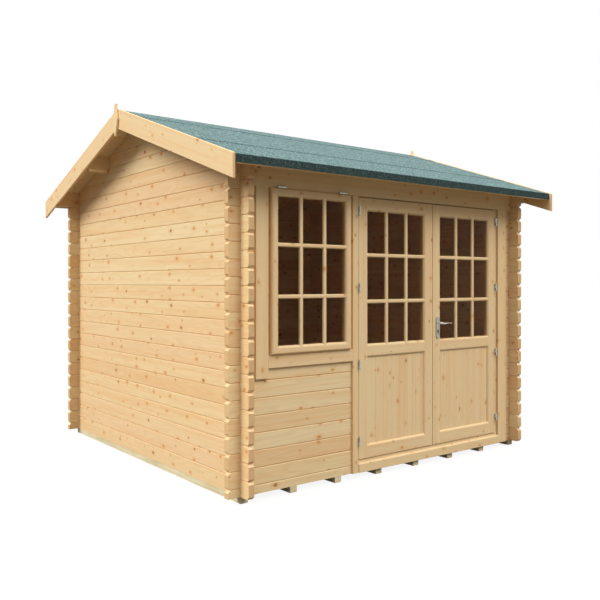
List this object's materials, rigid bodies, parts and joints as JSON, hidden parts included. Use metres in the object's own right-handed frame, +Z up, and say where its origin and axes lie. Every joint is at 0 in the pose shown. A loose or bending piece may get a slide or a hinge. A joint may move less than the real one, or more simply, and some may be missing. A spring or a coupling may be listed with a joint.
{
  "type": "log cabin",
  "caption": "Square log cabin of interlocking timber walls on bearers, with a felted ridge roof, a glazed double door with a lever handle, and a paned window.",
  "frame": {"origin": "centre of the cabin's base, on the ground under the bearers", "axes": "+Z up, +X to the right of someone facing the doors, -Y towards the front with the doors and window"},
  "size_m": [3.346, 3.382, 2.8355],
  "materials": {
    "spruce_logs": "planed, untreated spruce",
    "spruce_joinery": "planed, untreated spruce joinery",
    "spruce_boards": "planed, untreated spruce boards",
    "treated_timber": "sawn, green pressure-treated softwood",
    "roofing_felt": "matt bitumen felt with green mineral granules",
    "glass": "clear float glass",
    "steel": "satin nickel-plated steel"
  },
  "bodies": {
    "cabin": {"bearers": "treated_timber", "floor": "spruce_boards", "front_wall_left": "spruce_logs", "front_wall_right": "spruce_logs", "back_wall": "spruce_logs", "top_logs": "spruce_logs", "left_gable_wall": "spruce_logs", "right_gable_wall": "spruce_logs", "ridge_purlin": "spruce_logs", "side_purlins": "spruce_logs", "front_roof_deck": "spruce_boards", "back_roof_deck": "spruce_boards", "eaves_battens": "spruce_boards", "front_eaves_felt": "roofing_felt", "front_middle_felt": "roofing_felt", "ridge_felt": "roofing_felt", "back_middle_felt": "roofing_felt", "back_eaves_felt": "roofing_felt", "left_bargeboards": "spruce_joinery", "right_bargeboards": "spruce_joinery", "finials": "spruce_joinery", "window_frame": "spruce_joinery", "window_sill_board": "spruce_joinery", "window_sash": "spruce_joinery", "window_bars": "spruce_joinery", "window_glass": "glass", "window_hinges": "steel", "head_board": "spruce_joinery", "left_trim_board": "spruce_joinery", "right_trim_board": "spruce_joinery", "door_frame": "spruce_joinery", "door_threshold": "spruce_joinery", "door_hinge_pins": "steel"},
    "left_door": {"left_door_frame": "spruce_joinery", "left_door_bars": "spruce_joinery", "left_door_panel": "spruce_joinery", "left_door_glass": "glass", "left_door_hinges": "steel"},
    "right_door": {"right_door_frame": "spruce_joinery", "right_door_bars": "spruce_joinery", "right_door_panel": "spruce_joinery", "right_door_glass": "glass", "right_door_hinges": "steel", "handle_plates": "steel"},
    "lever": {"door_lever": "steel"}
  },
  "joints": [
    {"name": "left_door_hinge", "type": "hinge", "parent": "cabin", "child": "left_door", "pos_m": [-0.417, -1.462, 1.099], "axis": [0, 0, -1], "range_deg": [0, 110]},
    {"name": "right_door_hinge", "type": "hinge", "parent": "cabin", "child": "right_door", "pos_m": [1.171, -1.462, 1.099], "axis": [0, 0, 1], "range_deg": [0, 110]},
    {"name": "lever_turn", "type": "hinge", "parent": "right_door", "child": "lever", "pos_m": [0.434, -1.447, 1.111], "axis": [0, 1, 0], "range_deg": [0, 40], "stiffness_Nm_per_rad": 1.5, "springref_deg": -34.38}
  ]
}
